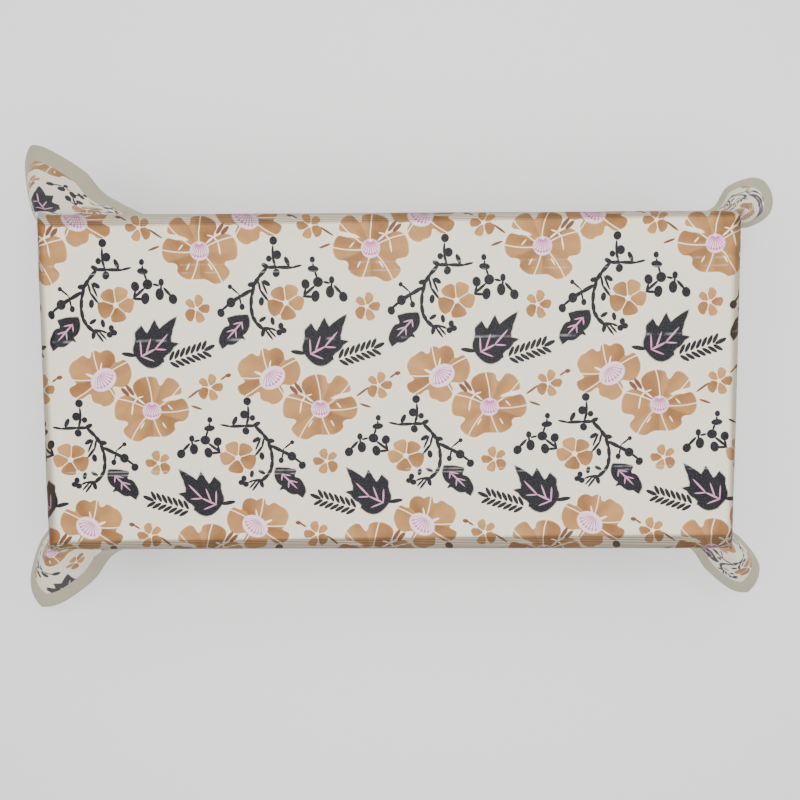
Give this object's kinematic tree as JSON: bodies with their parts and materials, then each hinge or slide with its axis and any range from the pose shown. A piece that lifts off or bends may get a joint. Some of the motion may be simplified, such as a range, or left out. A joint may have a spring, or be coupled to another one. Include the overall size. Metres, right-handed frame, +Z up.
{
  "type": "tablecloth on a table",
  "caption": "Small rectangular wooden table covered by a printed vinyl tablecloth that hangs on all sides and flares out at its corners.",
  "frame": {"origin": "on the floor under the middle of the table, at the underside of the feet", "axes": "+X along the table's length, +Y towards its back long side, +Z up"},
  "size_m": [1.416, 0.8906, 0.4513],
  "materials": {
    "printed_vinyl": "semi-gloss embossed vinyl film with a printed flower pattern",
    "beech": "oiled",
    "zinc_steel": "zinc plated",
    "black_nylon": "moulded"
  },
  "bodies": {
    "table": {"bearer_screw_back": "zinc_steel", "bearer_screw_front": "zinc_steel", "bolt_nut_back_left": "zinc_steel", "bolt_nut_back_right": "zinc_steel", "bolt_nut_front_left": "zinc_steel", "bolt_nut_front_right": "zinc_steel", "bolt_washer_back_left": "zinc_steel", "bolt_washer_back_right": "zinc_steel", "bolt_washer_front_left": "zinc_steel", "bolt_washer_front_right": "zinc_steel", "clip_screw_back_left": "zinc_steel", "clip_screw_back_right": "zinc_steel", "clip_screw_end_left": "zinc_steel", "clip_screw_end_right": "zinc_steel", "clip_screw_front_left": "zinc_steel", "clip_screw_front_right": "zinc_steel", "corner_bracket_back_left": "zinc_steel", "corner_bracket_back_right": "zinc_steel", "corner_bracket_front_left": "zinc_steel", "corner_bracket_front_right": "zinc_steel", "foot_insert_back_left": "zinc_steel", "foot_insert_back_right": "zinc_steel", "foot_insert_front_left": "zinc_steel", "foot_insert_front_right": "zinc_steel", "hanger_bolt_back_left": "zinc_steel", "hanger_bolt_back_right": "zinc_steel", "hanger_bolt_front_left": "zinc_steel", "hanger_bolt_front_right": "zinc_steel", "leg_back_left": "beech", "leg_back_right": "beech", "leg_front_left": "beech", "leg_front_right": "beech", "long_apron_back": "beech", "long_apron_front": "beech", "middle_bearer": "beech", "short_apron_left": "beech", "short_apron_right": "beech", "table_top": "beech", "top_clip_back_left": "zinc_steel", "top_clip_back_right": "zinc_steel", "top_clip_end_left": "zinc_steel", "top_clip_end_right": "zinc_steel", "top_clip_front_left": "zinc_steel", "top_clip_front_right": "zinc_steel"},
    "cloth": {"tablecloth": "printed_vinyl"},
    "foot_front_left": {"foot_pad_front_left": "black_nylon", "foot_stem_front_left": "zinc_steel"},
    "foot_front_right": {"foot_pad_front_right": "black_nylon", "foot_stem_front_right": "zinc_steel"},
    "foot_back_left": {"foot_pad_back_left": "black_nylon", "foot_stem_back_left": "zinc_steel"},
    "foot_back_right": {"foot_pad_back_right": "black_nylon", "foot_stem_back_right": "zinc_steel"}
  },
  "joints": [
    {"name": "cloth_lift", "type": "slide", "parent": "table", "child": "cloth", "axis": [0, 0, 1], "range_m": [0, 0.26]},
    {"name": "foot_front_left_screw", "type": "slide", "parent": "table", "child": "foot_front_left", "axis": [0, 0, -1], "range_m": [0, 0.01]},
    {"name": "foot_front_right_screw", "type": "slide", "parent": "table", "child": "foot_front_right", "axis": [0, 0, -1], "range_m": [0, 0.01]},
    {"name": "foot_back_left_screw", "type": "slide", "parent": "table", "child": "foot_back_left", "axis": [0, 0, -1], "range_m": [0, 0.01]},
    {"name": "foot_back_right_screw", "type": "slide", "parent": "table", "child": "foot_back_right", "axis": [0, 0, -1], "range_m": [0, 0.01]}
  ]
}
